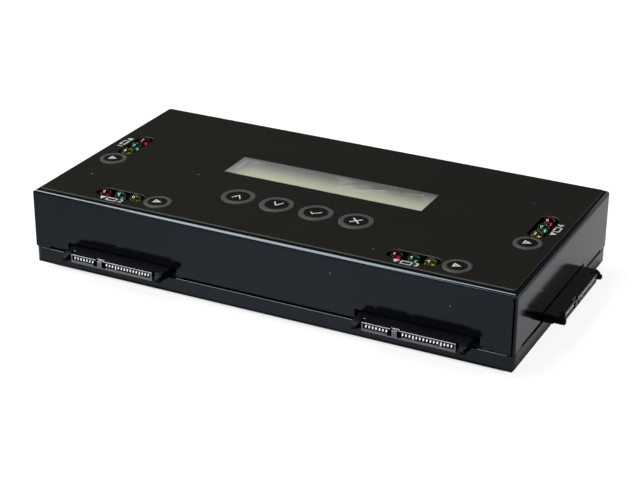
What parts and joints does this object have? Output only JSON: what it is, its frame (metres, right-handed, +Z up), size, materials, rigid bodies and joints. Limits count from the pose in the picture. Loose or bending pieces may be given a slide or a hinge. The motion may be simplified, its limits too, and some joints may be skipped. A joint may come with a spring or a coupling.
{
  "type": "hard drive eraser",
  "caption": "Flat black box with edge connectors for bare drives on the front and sides, a two-line display, menu keys, start keys and port lamps.",
  "frame": {"origin": "middle of the whole object's box in plan, at the bottom of the feet", "axes": "+X to the right along the long side, +Y to the rear, +Z up; the display reads from -Y"},
  "size_m": [0.2082, 0.11, 0.0336],
  "materials": {
    "case_paint": "satin black paint on folded sheet steel",
    "overlay_print": "fine matt printed film",
    "lens_clear": "clear flat window with a thin protective film",
    "display_cell": "grey-green reflective display cell",
    "bezel_black": "black folded sheet",
    "backlight_white": "white diffuser",
    "board_green": "glass-fibre board with green lacquer",
    "moulding_black": "black moulded plastic",
    "nylon_white": "moulded nylon",
    "spacer_brass": "turned brass",
    "screw_steel": "zinc plated steel",
    "chip_black": "moulded chip package",
    "coil_grey": "pressed ferrite",
    "can_aluminium": "drawn can",
    "key_grey": "grey moulded cap with a dark printed middle",
    "lamp_red": "tinted clear resin",
    "lamp_green": "tinted clear resin",
    "lamp_yellow": "tinted clear resin",
    "port_black": "black glass-filled moulding",
    "contact_gold": "gold plated spring contacts",
    "pin_nickel": "nickel plated pin",
    "rocker_black": "glossy moulded rocker",
    "foot_rubber": "moulded rubber"
  },
  "bodies": {
    "case": {"base_tray": "case_paint", "bridge_chips": "chip_black", "case_screws": "screw_steel", "control_board": "board_green", "controller_chip": "chip_black", "cover_shell": "case_paint", "display_backlight": "backlight_white", "display_bezel": "bezel_black", "display_board": "board_green", "display_glass": "display_cell", "display_pin_strip": "moulding_black", "display_posts": "nylon_white", "drive_contacts_1": "contact_gold", "drive_contacts_2": "contact_gold", "drive_contacts_3": "contact_gold", "drive_contacts_4": "contact_gold", "drive_port_1": "port_black", "drive_port_2": "port_black", "drive_port_3": "port_black", "drive_port_4": "port_black", "green_lamps": "lamp_green", "key_switches": "moulding_black", "lamp_bars": "moulding_black", "link_plug": "moulding_black", "link_socket": "moulding_black", "lower_spacers": "spacer_brass", "main_board": "board_green", "middle_spacers": "spacer_brass", "panel_overlay": "overlay_print", "power_capacitors": "can_aluminium", "power_coils": "coil_grey", "power_inlet": "moulding_black", "power_inlet_pin": "pin_nickel", "power_switch": "moulding_black", "red_lamps": "lamp_red", "rubber_feet": "foot_rubber", "switch_terminals": "spacer_brass", "upper_spacers": "spacer_brass", "window_lens": "lens_clear", "yellow_lamps": "lamp_yellow"},
    "up_button": {"up_key": "key_grey", "up_plunger": "moulding_black"},
    "down_button": {"down_key": "key_grey", "down_plunger": "moulding_black"},
    "ok_button": {"ok_key": "key_grey", "ok_plunger": "moulding_black"},
    "esc_button": {"esc_key": "key_grey", "esc_plunger": "moulding_black"},
    "start_1_button": {"start_1_key": "key_grey", "start_1_plunger": "moulding_black"},
    "start_2_button": {"start_2_key": "key_grey", "start_2_plunger": "moulding_black"},
    "start_3_button": {"start_3_key": "key_grey", "start_3_plunger": "moulding_black"},
    "start_4_button": {"start_4_key": "key_grey", "start_4_plunger": "moulding_black"},
    "rocker": {"power_rocker": "rocker_black"}
  },
  "joints": [
    {"name": "up_press", "type": "slide", "parent": "case", "child": "up_button", "axis": [0, 0, -1], "range_m": [0, 0.0004], "stiffness_N_per_m": 1500, "springref_m": -0.0004},
    {"name": "down_press", "type": "slide", "parent": "case", "child": "down_button", "axis": [0, 0, -1], "range_m": [0, 0.0004], "stiffness_N_per_m": 1500, "springref_m": -0.0004},
    {"name": "ok_press", "type": "slide", "parent": "case", "child": "ok_button", "axis": [0, 0, -1], "range_m": [0, 0.0004], "stiffness_N_per_m": 1500, "springref_m": -0.0004},
    {"name": "esc_press", "type": "slide", "parent": "case", "child": "esc_button", "axis": [0, 0, -1], "range_m": [0, 0.0004], "stiffness_N_per_m": 1500, "springref_m": -0.0004},
    {"name": "start_1_press", "type": "slide", "parent": "case", "child": "start_1_button", "axis": [0, 0, -1], "range_m": [0, 0.0004], "stiffness_N_per_m": 1500, "springref_m": -0.0004},
    {"name": "start_2_press", "type": "slide", "parent": "case", "child": "start_2_button", "axis": [0, 0, -1], "range_m": [0, 0.0004], "stiffness_N_per_m": 1500, "springref_m": -0.0004},
    {"name": "start_3_press", "type": "slide", "parent": "case", "child": "start_3_button", "axis": [0, 0, -1], "range_m": [0, 0.0004], "stiffness_N_per_m": 1500, "springref_m": -0.0004},
    {"name": "start_4_press", "type": "slide", "parent": "case", "child": "start_4_button", "axis": [0, 0, -1], "range_m": [0, 0.0004], "stiffness_N_per_m": 1500, "springref_m": -0.0004},
    {"name": "rocker_tilt", "type": "hinge", "parent": "case", "child": "rocker", "pos_m": [-0.036, 0.05248, 0.0143], "axis": [0, 0, -1], "range_deg": [0, 20]}
  ]
}
